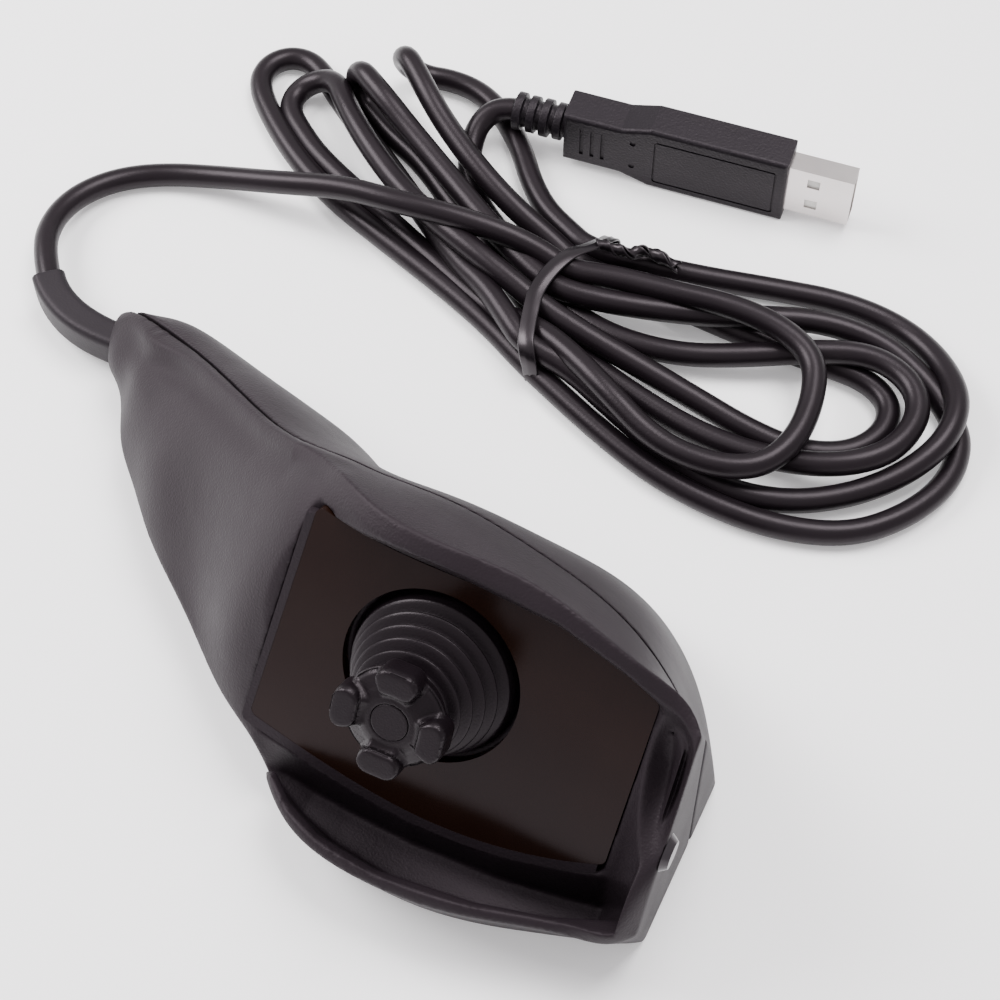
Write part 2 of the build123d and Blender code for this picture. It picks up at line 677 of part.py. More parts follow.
# The hank is highest at its upright folds on the left and lowest at the tie.
with BuildPart() as above_hank:
    with BuildSketch(Plane.XZ):
        with BuildLine():
            Polyline(*HANK_TOP, (95, 20), (HANK_TOP[0][0], 20), close=True)
        make_face()
    extrude(amount=-150)

lead_end, lead_before = Vector(CORD_ROUTE[-1]), Vector(CORD_ROUTE[-2])
with BuildPart() as lead_notch:
    with BuildSketch(Plane(origin=lead_end, z_dir=lead_before - lead_end)):
        Circle(CORD_D / 2 + 0.6)
    extrude(amount=30)

plug_heading = Vector(1, 0, 0).rotate(Axis.Z, PLUG_ANGLE)


def plug_plane(distance):
    """The plane across the plug at a distance from its cord end: local x sideways, local y up."""
    start = Vector(*PLUG_START, PLUG_Z) + plug_heading * distance
    return Plane(origin=start, x_dir=plug_heading.cross(Vector(0, 0, 1)), z_dir=plug_heading)


with BuildPart() as plug_notch:
    with BuildSketch(plug_plane(0)):
        Rectangle(11, 40)
    extrude(amount=40)

TIE_X, TIE_LOW_Y, TIE_HIGH_Y = 0.8, 65.6, 103.8
TIE_ACROSS, TIE_TALL = TIE_HIGH_Y - TIE_LOW_Y, 10.6
TIE_MIDDLE = ((TIE_LOW_Y + TIE_HIGH_Y) / 2, 0.2 + TIE_TALL / 2)
with BuildPart() as tie:
    with BuildSketch(Plane.YZ.offset(TIE_X - TIE_W / 2)):
        with Locations(TIE_MIDDLE):
            RectangleRounded(TIE_ACROSS, TIE_TALL, 4)
            RectangleRounded(TIE_ACROSS - 2 * TIE_T, TIE_TALL - 2 * TIE_T, 3.2, mode=Mode.SUBTRACT)
    extrude(amount=TIE_W)
with BuildPart() as tie_groove:
    with BuildSketch(Plane.YZ.offset(TIE_X - TIE_W / 2 - 0.2)):
        with Locations(TIE_MIDDLE):
            Rectangle(60, 40)
            RectangleRounded(TIE_ACROSS - 2 * TIE_T, TIE_TALL - 2 * TIE_T, 3.2, mode=Mode.SUBTRACT)
    extrude(amount=TIE_W + 0.4)
save(hank.part - above_hank.part - lead_notch.part - plug_notch.part - tie_groove.part, "cord_hank")
save(tie.part, "twist_tie")

# ---------------------------------------------------------------- plug

RELIEF_RINGS = 4
ring_pitch = RELIEF_L / RELIEF_RINGS
with BuildPart() as plug_relief:
    with BuildSketch(plug_plane(0)):
        Circle(3.0)
    extrude(amount=RELIEF_L)
    for k in range(RELIEF_RINGS):
        with BuildSketch(plug_plane(0.3 + k * ring_pitch)):
            Circle(3.9 - 0.1 * (k % 2))
        extrude(amount=ring_pitch * 0.6)
save(plug_relief.part, "plug_relief")

BODY_T, NARROW_H, WIDE_H = 8.0, 12.4, 16.0
STEP_FROM, STEP_TO, SHELL_SUNK = 12.0, 18.0, 2.0
profile = [(0, NARROW_H / 2), (STEP_FROM, NARROW_H / 2), (STEP_TO, WIDE_H / 2), (BODY_L, WIDE_H / 2)]
plug_sideways = plug_heading.cross(Vector(0, 0, 1))
plug_side = Plane(origin=plug_plane(RELIEF_L).origin, x_dir=plug_heading, z_dir=plug_sideways)
with BuildPart() as plug_body:
    with BuildSketch(plug_side):
        with BuildLine():
            Polyline(*profile, *[(x, -y) for x, y in reversed(profile)], close=True)
        make_face()
    extrude(amount=BODY_T / 2, both=True)
    lengthwise = plug_body.edges().filter_by(lambda e: abs((e % 0.5).dot(plug_sideways)) < 0.1)
    long_edges = lengthwise.filter_by(lambda e: e.length > 5.9)
    fillet(long_edges, 0.9)
    with BuildSketch(plug_plane(RELIEF_L + BODY_L - SHELL_SUNK)):
        Rectangle(USB_T, USB_W)
    extrude(amount=SHELL_SUNK, mode=Mode.SUBTRACT)
    for side in (1, -1):
        with BuildSketch(plug_side.offset(side * (BODY_T / 2 - 0.35))):
            with Locations(*[(4.0 + 2.2 * k, 0) for k in range(3)]):
                Rectangle(0.8, 7.0)
        extrude(amount=side * 1.0, mode=Mode.SUBTRACT)
        with BuildSketch(plug_side.offset(side * (BODY_T / 2 - 0.3))):
            with Locations((31.5, -0.4)):
                RectangleRounded(25.0, 11.6, 0.6)
                RectangleRounded(24.2, 10.8, 0.3, mode=Mode.SUBTRACT)
            with Locations((14.6, 3.2), (14.6, -3.2)):
                Circle(0.6)
        extrude(amount=side * 1.0, mode=Mode.SUBTRACT)
save(plug_body.part, "plug_body")

SHEET = 0.35
with BuildPart() as plug_shell:
    with BuildSketch(plug_plane(RELIEF_L + BODY_L - SHELL_SUNK)):
        Rectangle(USB_T, USB_W)
        Rectangle(USB_T - 2 * SHEET, USB_W - 2 * SHEET, mode=Mode.SUBTRACT)
    extrude(amount=SHELL_L + SHELL_SUNK)
    with BuildSketch(plug_side.offset(-USB_T)):
        with Locations((BODY_L + 5.2, 2.9), (BODY_L + 5.2, -2.9)):
            Rectangle(2.5, 2.3)
    extrude(amount=2 * USB_T, mode=Mode.SUBTRACT)
save(plug_shell.part, "plug_shell")

TONGUE_T, TONGUE_SIDE = 1.9, 0.9
with BuildPart() as plug_tongue:
    with BuildSketch(plug_plane(RELIEF_L + BODY_L - SHELL_SUNK)):
        with Locations((TONGUE_SIDE, 0)):
            Rectangle(TONGUE_T, USB_W - 2 * SHEET - 0.1)
    extrude(amount=SHELL_L + SHELL_SUNK - 0.6)
save(plug_tongue.part, "plug_tongue")
with BuildPart() as plug_contacts:
    with BuildSketch(plug_plane(RELIEF_L + BODY_L - SHELL_SUNK + 3)):
        with Locations(*[(TONGUE_SIDE - TONGUE_T / 2 - 0.1, y) for y in (-3.5, -1.0, 1.0, 3.5)]):
            Rectangle(0.2, 1.1)
    extrude(amount=8.5)
save(plug_contacts.part, "plug_contacts")
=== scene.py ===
import json
import math

import bmesh
import bpy
from mathutils import Matrix, Vector


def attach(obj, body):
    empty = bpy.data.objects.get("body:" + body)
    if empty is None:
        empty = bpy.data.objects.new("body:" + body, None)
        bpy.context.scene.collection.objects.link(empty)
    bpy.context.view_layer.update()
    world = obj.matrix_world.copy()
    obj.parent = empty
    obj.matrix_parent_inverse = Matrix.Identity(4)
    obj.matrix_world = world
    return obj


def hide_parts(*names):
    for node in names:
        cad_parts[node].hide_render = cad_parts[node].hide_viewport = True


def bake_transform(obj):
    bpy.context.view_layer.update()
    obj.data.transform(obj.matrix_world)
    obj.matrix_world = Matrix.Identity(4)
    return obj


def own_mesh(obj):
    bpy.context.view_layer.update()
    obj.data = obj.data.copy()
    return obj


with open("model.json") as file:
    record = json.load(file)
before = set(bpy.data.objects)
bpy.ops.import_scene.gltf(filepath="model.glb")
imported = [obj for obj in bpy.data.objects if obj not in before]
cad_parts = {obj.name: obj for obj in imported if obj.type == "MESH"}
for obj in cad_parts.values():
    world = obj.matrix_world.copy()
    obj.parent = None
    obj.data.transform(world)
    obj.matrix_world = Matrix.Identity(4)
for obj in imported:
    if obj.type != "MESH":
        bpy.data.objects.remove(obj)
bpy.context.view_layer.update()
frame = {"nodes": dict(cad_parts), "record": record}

# A corded thumb-stick pointing device, in metres, in the frame of its CAD part.

nodes = frame["nodes"]
body_members = frame["record"]["behaviour"]["bodies"]
node_body = {node: body for body, members in body_members.items() for node in members}
scene = bpy.context.scene

TILT = math.radians(58.8)
NORMAL = Vector((0, -math.sin(TILT), math.cos(TILT)))
UP = Vector((0, math.cos(TILT), math.sin(TILT)))
ACROSS = Vector((1, 0, 0))
HOLE = Vector((0.0236, -0.0146, 0.0349))


def clamped(value):
    """A value kept between 0 and 1."""
    return min(max(value, 0), 1)


def smooth_step(t):
    """A step from 0 to 1 that starts and ends level."""
    return t * t * (3 - 2 * t)


# ---------------------------------------------------------------- camera

LENS_MM = 79.2
SENSOR_MM = 36
CAMERA_PLACE = (0.1030, -0.1589, 0.3388)
CAMERA_AIM = Vector((0.010, 0.0405, 0))

camera_data = bpy.data.cameras.new("photo_camera")
camera_data.lens = LENS_MM
camera_data.sensor_width = SENSOR_MM
camera = bpy.data.objects.new("photo_camera", camera_data)
camera.location = CAMERA_PLACE
look = CAMERA_AIM - camera.location
camera.rotation_euler = look.to_track_quat("-Z", "Y").to_euler()
scene.collection.objects.link(camera)
scene.camera = camera

# ---------------------------------------------------------------- cord

CORD_D = 0.0047
# The free stretch from the strain relief, as in the CAD, then the hank up to the plug's relief.
CORD_ROUTE = [
    (-0.088, 0.0456, 0.0061), (-0.0936, 0.052, 0.0061), (-0.0969, 0.0606, 0.0044),
    (-0.0962, 0.069, 0.0032), (-0.0916, 0.0764, 0.0025), (-0.0838, 0.0816, 0.0024),
    (-0.0724, 0.0846, 0.0038), (-0.059, 0.0856, 0.0076), (-0.046, 0.0874, 0.0108),
]
HANK_ROUTE = [
    (-0.034, 0.0874, 0.0123), (-0.0225, 0.0888, 0.0122), (-0.0115, 0.0902, 0.0108),
    (-0.004, 0.0906, 0.0086), (0.0012, 0.0898, 0.0069), (0.011, 0.0912, 0.0082), (0.022, 0.0918, 0.009),
    (0.034, 0.0932, 0.0096), (0.0445, 0.092, 0.01), (0.0525, 0.0882, 0.0096), (0.0554, 0.08, 0.009),
    (0.0558, 0.07, 0.0088), (0.0522, 0.062, 0.0084), (0.044, 0.0588, 0.0078), (0.032, 0.0598, 0.0073),
    (0.02, 0.0654, 0.0092), (0.0095, 0.0714, 0.0082), (0.0012, 0.0748, 0.0069), (-0.008, 0.077, 0.0032),
    (-0.017, 0.0806, 0.0026), (-0.03, 0.0866, 0.0024), (-0.044, 0.0926, 0.0024),
    (-0.0574, 0.0986, 0.0024), (-0.0642, 0.1033, 0.0024), (-0.0685, 0.1069, 0.0024),
    (-0.07, 0.1107, 0.0026), (-0.0685, 0.1144, 0.0036), (-0.0648, 0.1159, 0.0054),
    (-0.061, 0.1142, 0.0072), (-0.0576, 0.1104, 0.008), (-0.053, 0.106, 0.0082),
    (-0.0465, 0.1008, 0.008), (-0.038, 0.0952, 0.0074), (-0.028, 0.0894, 0.009),
    (-0.0175, 0.0852, 0.0096), (-0.007, 0.0818, 0.0086), (0.0012, 0.0794, 0.0071),
    (0.011, 0.0776, 0.006), (0.023, 0.0762, 0.0044), (0.035, 0.0746, 0.003), (0.046, 0.0726, 0.0024),
    (0.0565, 0.072, 0.0024), (0.065, 0.0756, 0.0024), (0.0692, 0.0825, 0.0024),
    (0.0682, 0.0892, 0.0024), (0.062, 0.093, 0.0024), (0.052, 0.093, 0.0024), (0.038, 0.093, 0.0024),
    (0.024, 0.094, 0.0024), (0.012, 0.095, 0.0024), (0.0012, 0.0952, 0.0024), (-0.005, 0.0978, 0.0034),
    (-0.0145, 0.1004, 0.0058), (-0.025, 0.1052, 0.008), (-0.035, 0.1114, 0.0098),
    (-0.041, 0.1158, 0.0116), (-0.0461, 0.1203, 0.0122), (-0.0492, 0.1229, 0.0122),
    (-0.0514, 0.1248, 0.0093), (-0.051, 0.1264, 0.0053), (-0.0476, 0.1278, 0.0026),
    (-0.0425, 0.1292, 0.0024), (-0.0365, 0.1289, 0.0024), (-0.0305, 0.1262, 0.0024),
    (-0.0252, 0.1218, 0.0024), (-0.021, 0.1176, 0.0024), (-0.0156, 0.1106, 0.0024),
    (-0.01, 0.1054, 0.0024), (-0.004, 0.1024, 0.0024), (0.0012, 0.1, 0.0024), (0.012, 0.1008, 0.0024),
    (0.024, 0.1026, 0.0024), (0.038, 0.1058, 0.0024), (0.052, 0.1086, 0.0024), (0.064, 0.1076, 0.0024),
    (0.0735, 0.1018, 0.004), (0.08, 0.0928, 0.0066), (0.0806, 0.083, 0.0066), (0.076, 0.0742, 0.0046),
    (0.0682, 0.0664, 0.003), (0.058, 0.0604, 0.0024), (0.046, 0.0582, 0.0024), (0.033, 0.0612, 0.0034),
    (0.021, 0.0654, 0.0048), (0.0105, 0.0694, 0.0062), (0.0012, 0.0702, 0.007), (-0.004, 0.074, 0.0074),
    (-0.011, 0.0794, 0.007), (-0.02, 0.0844, 0.0052), (-0.033, 0.0948, 0.0028),
    (-0.0468, 0.1048, 0.0024), (-0.06, 0.1136, 0.0024), (-0.0664, 0.1188, 0.0024),
    (-0.0714, 0.1216, 0.0024), (-0.0762, 0.1208, 0.0024), (-0.079, 0.1168, 0.0024),
    (-0.0784, 0.1114, 0.0024), (-0.072, 0.1046, 0.0024), (-0.0604, 0.0956, 0.0024),
    (-0.048, 0.0894, 0.0024), (-0.0344, 0.0846, 0.0024), (-0.0196, 0.0794, 0.0024),
    (-0.008, 0.0746, 0.0024), (0.0012, 0.0696, 0.0024), (0.009, 0.066, 0.0024), (0.02, 0.0612, 0.0024),
    (0.033, 0.0564, 0.0024), (0.046, 0.0544, 0.0024), (0.059, 0.0548, 0.0024), (0.071, 0.0588, 0.0024),
    (0.079, 0.067, 0.0024), (0.0836, 0.077, 0.0024), (0.083, 0.0865, 0.0024), (0.078, 0.0924, 0.0026),
    (0.0715, 0.097, 0.0036), (0.062, 0.101, 0.0044), (0.05, 0.1008, 0.0048), (0.038, 0.0956, 0.0054),
    (0.026, 0.0904, 0.0062), (0.013, 0.0864, 0.0068), (0.0012, 0.0846, 0.0069),
    (-0.008, 0.0884, 0.0072), (-0.0185, 0.0942, 0.0076), (-0.031, 0.1016, 0.0086),
    (-0.0415, 0.1074, 0.0102), (-0.048, 0.1108, 0.012), (-0.052, 0.1132, 0.0122),
    (-0.0555, 0.1154, 0.0122), (-0.0579, 0.1169, 0.0093), (-0.0579, 0.1169, 0.0053),
    (-0.0555, 0.1154, 0.0024), (-0.0516, 0.113, 0.0024), (-0.0465, 0.11, 0.0024),
    (-0.038, 0.1064, 0.0024), (-0.027, 0.0984, 0.0024), (-0.016, 0.091, 0.0024),
    (-0.007, 0.085, 0.0024), (0.0012, 0.0792, 0.0024), (0.011, 0.0748, 0.0025), (0.022, 0.0714, 0.0024),
    (0.034, 0.0684, 0.0026), (0.046, 0.067, 0.0034), (0.058, 0.0678, 0.0052), (0.067, 0.0708, 0.0068),
    (0.0728, 0.077, 0.007), (0.0744, 0.086, 0.007), (0.0704, 0.0928, 0.007), (0.0614, 0.0958, 0.0066),
    (0.051, 0.0926, 0.0056), (0.039, 0.0866, 0.0046), (0.027, 0.0818, 0.004), (0.013, 0.0814, 0.003),
    (0.0012, 0.0854, 0.0024), (-0.006, 0.0896, 0.0024), (-0.013, 0.0942, 0.0024),
    (-0.021, 0.0996, 0.0024), (-0.0268, 0.1052, 0.0024), (-0.03, 0.1114, 0.0032),
    (-0.031, 0.1174, 0.0056), (-0.0286, 0.1219, 0.0076), (-0.0249, 0.1226, 0.008),
]

cord_curve = bpy.data.curves.new("cord", "CURVE")
cord_curve.dimensions = "3D"
cord_curve.bevel_depth = CORD_D / 2
cord_curve.bevel_resolution = 6
cord_curve.resolution_u = 8
cord_curve.use_fill_caps = True
spline = cord_curve.splines.new("NURBS")
route = CORD_ROUTE + HANK_ROUTE
spline.points.add(len(route) - 1)
for point, place in zip(spline.points, route):
    point.co = (*place, 1)
spline.order_u = 3
spline.use_endpoint_u = True
cord = bpy.data.objects.new("cord", cord_curve)
scene.collection.objects.link(cord)

# ---------------------------------------------------------------- finishes

CLOUD_SCALE = 90
CLOUD_DETAIL = 3
CLOUD_RANGE = (0.3, 0.7)
GRAIN_DETAIL = 2
GRAIN_DEPTH = 0.4  # of the grain's size
WARM_GLEAM = (1.0, 0.88, 0.95, 1)
PLAIN_GLEAM = (1, 1, 1, 1)


def finish(name, colour, roughness, grain=0.0, size=0.0004, patches=0.06, metallic=0.0, gleam=0.5):
    """A procedural finish: fine grain in the surface, and slight patches in colour and gloss."""
    made = bpy.data.materials.new(name)
    made.use_nodes = True
    tree = made.node_tree
    shader = tree.nodes["Principled BSDF"]
    shader.inputs["Metallic"].default_value = metallic
    shader.inputs["Specular IOR Level"].default_value = gleam
    shader.inputs["Specular Tint"].default_value = WARM_GLEAM if metallic == 0 else PLAIN_GLEAM
    place = tree.nodes.new("ShaderNodeTexCoord")
    clouds = tree.nodes.new("ShaderNodeTexNoise")
    clouds.inputs["Scale"].default_value = CLOUD_SCALE
    clouds.inputs["Detail"].default_value = CLOUD_DETAIL
    tree.links.new(place.outputs["Object"], clouds.inputs["Vector"])
    tint = tree.nodes.new("ShaderNodeMapRange")
    tint.inputs["From Min"].default_value = CLOUD_RANGE[0]
    tint.inputs["From Max"].default_value = CLOUD_RANGE[1]
    tint.inputs["To Min"].default_value = 1 - patches
    tint.inputs["To Max"].default_value = 1 + patches
    tree.links.new(clouds.outputs["Fac"], tint.inputs["Value"])
    shade = tree.nodes.new("ShaderNodeVectorMath")
    shade.operation = "SCALE"
    shade.inputs[0].default_value = colour
    tree.links.new(tint.outputs["Result"], shade.inputs["Scale"])
    tree.links.new(shade.outputs["Vector"], shader.inputs["Base Color"])
    gloss = tree.nodes.new("ShaderNodeMath")
    gloss.operation = "MULTIPLY"
    gloss.inputs[1].default_value = roughness
    tree.links.new(tint.outputs["Result"], gloss.inputs[0])
    tree.links.new(gloss.outputs["Value"], shader.inputs["Roughness"])
    if grain:
        speckle = tree.nodes.new("ShaderNodeTexNoise")
        speckle.inputs["Scale"].default_value = 1 / size
        speckle.inputs["Detail"].default_value = GRAIN_DETAIL
        tree.links.new(place.outputs["Object"], speckle.inputs["Vector"])
        bump = tree.nodes.new("ShaderNodeBump")
        bump.inputs["Strength"].default_value = grain
        bump.inputs["Distance"].default_value = size * GRAIN_DEPTH
        tree.links.new(speckle.outputs["Fac"], bump.inputs["Height"])
        tree.links.new(bump.outputs["Normal"], shader.inputs["Normal"])
    return made


LOOKS = {
    "shell": dict(
        colour=(0.0090, 0.0062, 0.0082), roughness=0.54, grain=0.50, size=0.00042, gleam=0.18,
    ),
    "smoked_panel": dict(colour=(0.0075, 0.0030, 0.0018), roughness=0.20, patches=0.10, gleam=0.16),
    "clear_bumper": dict(colour=(0.016, 0.014, 0.016), roughness=0.22, patches=0.02, gleam=0.30),
    "stick_rubber": dict(
        colour=(0.0040, 0.0026, 0.0036), roughness=0.36, grain=0.35, size=0.0003, gleam=0.18,
    ),
    "inner_plastic": dict(colour=(0.030, 0.030, 0.032), roughness=0.55, grain=0.2),
    "bearing_plastic": dict(colour=(0.62, 0.60, 0.55), roughness=0.30, patches=0.03),
    "foot_rubber": dict(colour=(0.025, 0.025, 0.025), roughness=0.75, grain=0.3),
    "screw_steel": dict(colour=(0.42, 0.42, 0.43), roughness=0.30, grain=0.1, metallic=1.0),
    "shaft_steel": dict(colour=(0.55, 0.55, 0.56), roughness=0.22, patches=0.04, metallic=1.0),
    "magnet": dict(colour=(0.70, 0.70, 0.71), roughness=0.14, patches=0.03, metallic=1.0),
    "board_green": dict(colour=(0.02, 0.16, 0.07), roughness=0.32, patches=0.12),
    "chip_black": dict(colour=(0.02, 0.02, 0.02), roughness=0.50, grain=0.25),
    "ceramic_parts": dict(colour=(0.40, 0.30, 0.20), roughness=0.45, patches=0.10),
    "connector_white": dict(colour=(0.75, 0.74, 0.70), roughness=0.42, patches=0.03),
    "cord_jacket": dict(
        colour=(0.0052, 0.0036, 0.0048), roughness=0.36, grain=0.12, size=0.0005, gleam=0.20,
    ),
    "boot_rubber": dict(colour=(0.0078, 0.0064, 0.0080), roughness=0.50, grain=0.25, gleam=0.20),
    "tie_plastic": dict(colour=(0.0040, 0.0030, 0.0040), roughness=0.30, patches=0.10, gleam=0.35),
    "plug_plastic": dict(
        colour=(0.0062, 0.0050, 0.0066), roughness=0.44, grain=0.60, size=0.00045, gleam=0.20,
    ),
    "plug_metal": dict(
        colour=(0.60, 0.56, 0.55), roughness=0.20, grain=0.06, size=0.0008, metallic=1.0,
    ),
    "contact_gold": dict(colour=(0.80, 0.60, 0.25), roughness=0.20, patches=0.04, metallic=1.0),
}
FINISHES = {slot: finish(slot, **look) for slot, look in LOOKS.items()}
slot_of = {part["node"]: part["material_slot"] for part in frame["record"]["subparts"]}
for node, piece in nodes.items():
    piece.data.materials.clear()
    piece.data.materials.append(FINISHES[slot_of[node]])


def dress(piece, *cad_nodes):
    """Gives a piece the finish of the CAD nodes that it stands for, and hides those nodes."""
    slot = slot_of[cad_nodes[0]]
    piece.data.materials.clear()
    piece.data.materials.append(FINISHES[slot])
    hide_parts(*cad_nodes)
    return piece


COARSER = 1
FEWER = 1
RELAX_SHARE = 0.5
BALL_DIVISIONS = 3
SHARP_ANGLE = math.radians(40)
BEVEL_SEGMENTS = 2


def moulded(node, voxel, passes, shaped=None, backing=()):
    """Adds a copy of a CAD node with its edges rounded as a moulding's are.

    backing holds balls of (middle, radius) that join it first, and shaped moves the copy's vertices.
    """
    mould = bmesh.new()
    mould.from_mesh(nodes[node].data)
    for middle, radius in backing:
        place = Matrix.Translation(middle)
        bmesh.ops.create_icosphere(mould, subdivisions=BALL_DIVISIONS, radius=radius, matrix=place)
    source = bpy.data.meshes.new(node + "_source")
    mould.to_mesh(source)
    mould.free()
    rough = bpy.data.objects.new(node + "_rough", source)
    scene.collection.objects.link(rough)
    remesh = rough.modifiers.new("remesh", "REMESH")
    remesh.mode = "VOXEL"
    remesh.voxel_size = voxel * COARSER
    relax = rough.modifiers.new("relax", "SMOOTH")
    relax.factor = RELAX_SHARE
    relax.iterations = passes // FEWER
    bpy.context.view_layer.update()
    evaluated = rough.evaluated_get(bpy.context.evaluated_depsgraph_get())
    shape = bpy.data.meshes.new_from_object(evaluated)
    bpy.data.objects.remove(rough)
    if shaped:
        shaped(shape)
    shape.shade_smooth()
    piece = bpy.data.objects.new(node + "_moulded", shape)
    scene.collection.objects.link(piece)
    dress(piece, node)
    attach(piece, node_body[node])


def eased(node, width):
    """A CAD node shown as it is, with its sharp edges broken."""
    bevel = nodes[node].modifiers.new("broken edges", "BEVEL")
    bevel.width = width
    bevel.segments = BEVEL_SEGMENTS
    bevel.limit_method = "ANGLE"
    bevel.angle_limit = SHARP_ANGLE
    bevel.harden_normals = True


def mesh_piece(name, points, faces):
    """A smooth-shaded mesh object."""
    shape = bpy.data.meshes.new(name)
    shape.from_pydata(points, [], faces)
    shape.shade_smooth()
    piece = bpy.data.objects.new(name, shape)
    scene.collection.objects.link(piece)
    return piece


# ---------------------------------------------------------------- body

SEAM = [
    (-0.0675, 0.0410), (-0.0540, 0.0350), (-0.0410, 0.0284), (-0.0280, 0.0200), (-0.0200, 0.0148),
    (-0.0110, 0.0104), (-0.0030, 0.0093), (0.0060, 0.0096),
]


def seam_y(x):
    """The seam's y at x, seen from above."""
    for (x1, y1), (x2, y2) in zip(SEAM, SEAM[1:]):
        if x <= x2:
            return y1 + (y2 - y1) * (x - x1) / (x2 - x1)
    return SEAM[-1][1]


def swell(value, middle, spread):
    """A bell curve of height 1 about a middle."""
    return math.exp(-(((value - middle) / spread) ** 2))


PALM_OUTWARDS = Vector((-0.75, -0.66, 0))
PALM_END_X = 0.004
LINES_START_X, LINES_START_FADE = -0.066, 0.010
LINES_STOP_X, LINES_STOP_FADE = 0.002, 0.012
LINES_LOW_Z = 0.012
FACING = 0.15  # the least share of a face's direction that counts as facing a way
VALLEY = (0.00085, 0.0056, 0.0022)  # height or depth, distance from the seam, spread
LIP = (0.00040, 0.0022, 0.0012)
FULLNESS = (0.0017, -0.0535, 0.0055)  # height, x of its middle, spread
FULLNESS_FADE = 0.4


def palm_lines(shape):
    """The lip along the seam, the shallow valley beside it, and the palm's fullness near the tail."""
    moves = []
    for vertex in shape.vertices:
        x, y, z = vertex.co
        move = Vector()
        if x < PALM_END_X:
            inland = seam_y(x) - y
            start = clamped((x - LINES_START_X) / LINES_START_FADE)
            reach = start * clamped((LINES_STOP_X - x) / LINES_STOP_FADE)
            if vertex.normal.z > FACING and inland > 0 and z > LINES_LOW_Z:
                valley = VALLEY[0] * swell(inland, *VALLEY[1:]) - LIP[0] * swell(inland, *LIP[1:])
                move -= vertex.normal * (valley * reach)
            side = vertex.normal.dot(PALM_OUTWARDS)
            if side > FACING:
                fullness = FULLNESS[0] * swell(x, *FULLNESS[1:]) * min(1, side / FULLNESS_FADE)
                move += PALM_OUTWARDS * fullness
        moves.append(move)
    for vertex, move in zip(shape.vertices, moves):
        vertex.co += move


# Balls inside the rim by the flat end, where the wall is too thin for the voxels. They close part of the
# gap there: a slit stays open.
BACKING_RADIUS = 0.00155
BACKING_PLACES = [
    (0.0616, -0.0097, 0.0389), (0.0619, -0.0098, 0.0380), (0.0623, -0.0099, 0.0373),
    (0.0623, -0.0103, 0.0367), (0.0626, -0.0104, 0.0360), (0.0624, -0.0108, 0.0353),
    (0.0621, -0.0119, 0.0340),
]
RIM_BACKING = [(Vector(place), BACKING_RADIUS) for place in BACKING_PLACES]
moulded("front_shell", voxel=0.00034, passes=16, shaped=palm_lines, backing=RIM_BACKING)
moulded("back_shell", voxel=0.00034, passes=8)
moulded("strain_relief", voxel=0.00022, passes=5)
eased("end_bumper", width=0.0002)
eased("window_panel", width=0.0003)
eased("window_frame", width=0.0004)
INNER_BLOCKS = (
    "base_plate", "rubber_feet", "circuit_board", "stick_housing", "controller_chip", "press_switch",
)
for node in INNER_BLOCKS:
    eased(node, width=0.0002)

# ---------------------------------------------------------------- stick

# Points of (radius, height above the panel): the crests, the skirt below them and the neck above. The
# last trough lies halfway from the last crest to LAST_HEIGHT.
RINGS = [(0.0135, 0.0002), (0.0125, 0.0028), (0.0114, 0.0052), (0.0102, 0.0074), (0.0090, 0.0094)]
SKIRT = [(0.0150, -0.0034), (0.0142, -0.0028), (0.0138, -0.0018)]
SKIRT_TOP = (0.0137, -0.0012)
NECK = (0.0072, 0.0116)
NECK_END = (0.0050, 0.0118)
LAST_HEIGHT = 0.0112
FOLD_DEPTH = 0.0021
ROUND_STEPS = 96
FOLD_STEPS = 7


def fold(start, end):
    """Points of (radius, height) from a crest to a trough or back, easing out at both."""
    steps = [k / FOLD_STEPS for k in range(FOLD_STEPS)]
    eases = [(1 - math.cos(math.pi * t)) / 2 for t in steps]
    return [
        (start[0] + (end[0] - start[0]) * ease, start[1] + (end[1] - start[1]) * t)
        for t, ease in zip(steps, eases)
    ]


def turned(name, profile):
    """A skin turned about the stick's axis from points of (radius, height above the panel)."""
    points = []
    for radius, height in profile:
        for k in range(ROUND_STEPS):
            angle = 2 * math.pi * k / ROUND_STEPS
            spoke = ACROSS * math.cos(angle) + UP * math.sin(angle)
            points.append(HOLE + spoke * radius + NORMAL * height)
    faces = []
    for row in range(len(profile) - 1):
        for k in range(ROUND_STEPS):
            beside = (k + 1) % ROUND_STEPS
            low, high = row * ROUND_STEPS, (row + 1) * ROUND_STEPS
            faces.append((low + k, low + beside, high + beside, high + k))
    return mesh_piece(name, points, faces)


heights_after = [height for _, height in RINGS[1:]] + [LAST_HEIGHT]
troughs = [
    (radius - FOLD_DEPTH, (height + after) / 2) for (radius, height), after in zip(RINGS, heights_after)
]
crests = RINGS + [NECK]
waves = [fold(crests[k], troughs[k]) + fold(troughs[k], crests[k + 1]) for k in range(len(RINGS))]
# The two skins meet at the third trough.
MEET = troughs[2]
outer_profile = SKIRT + fold(SKIRT_TOP, RINGS[0]) + waves[0] + waves[1] + fold(RINGS[2], MEET) + [MEET]
inner_profile = fold(MEET, RINGS[3]) + waves[3] + waves[4] + [NECK, NECK_END]
outer_folds = dress(turned("bellows_outer_folds", outer_profile), "bellows")
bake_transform(outer_folds)
inner_folds = dress(turned("bellows_inner_folds", inner_profile), "bellows")
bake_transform(inner_folds)


LOBE_TURN = 90  # degrees from lobe to lobe
PAD_EDGE, PAD_SLOPE = 33, 11  # degrees from a lobe's middle to its pad's foot, and of its flank
PAD_FLOOR = 0.0140  # height above the panel
PAD_INNER = 0.0036
RISE_START, RISE_SPAN = 0.0040, 0.0020
LOBE_TOP, LOBE_SPAN = 0.0172, 0.0012
PAD_HEIGHT = 0.00105
CHANNEL_DEPTH = 0.00035
UPWARD_START, UPWARD_SPAN = 0.1, 0.5


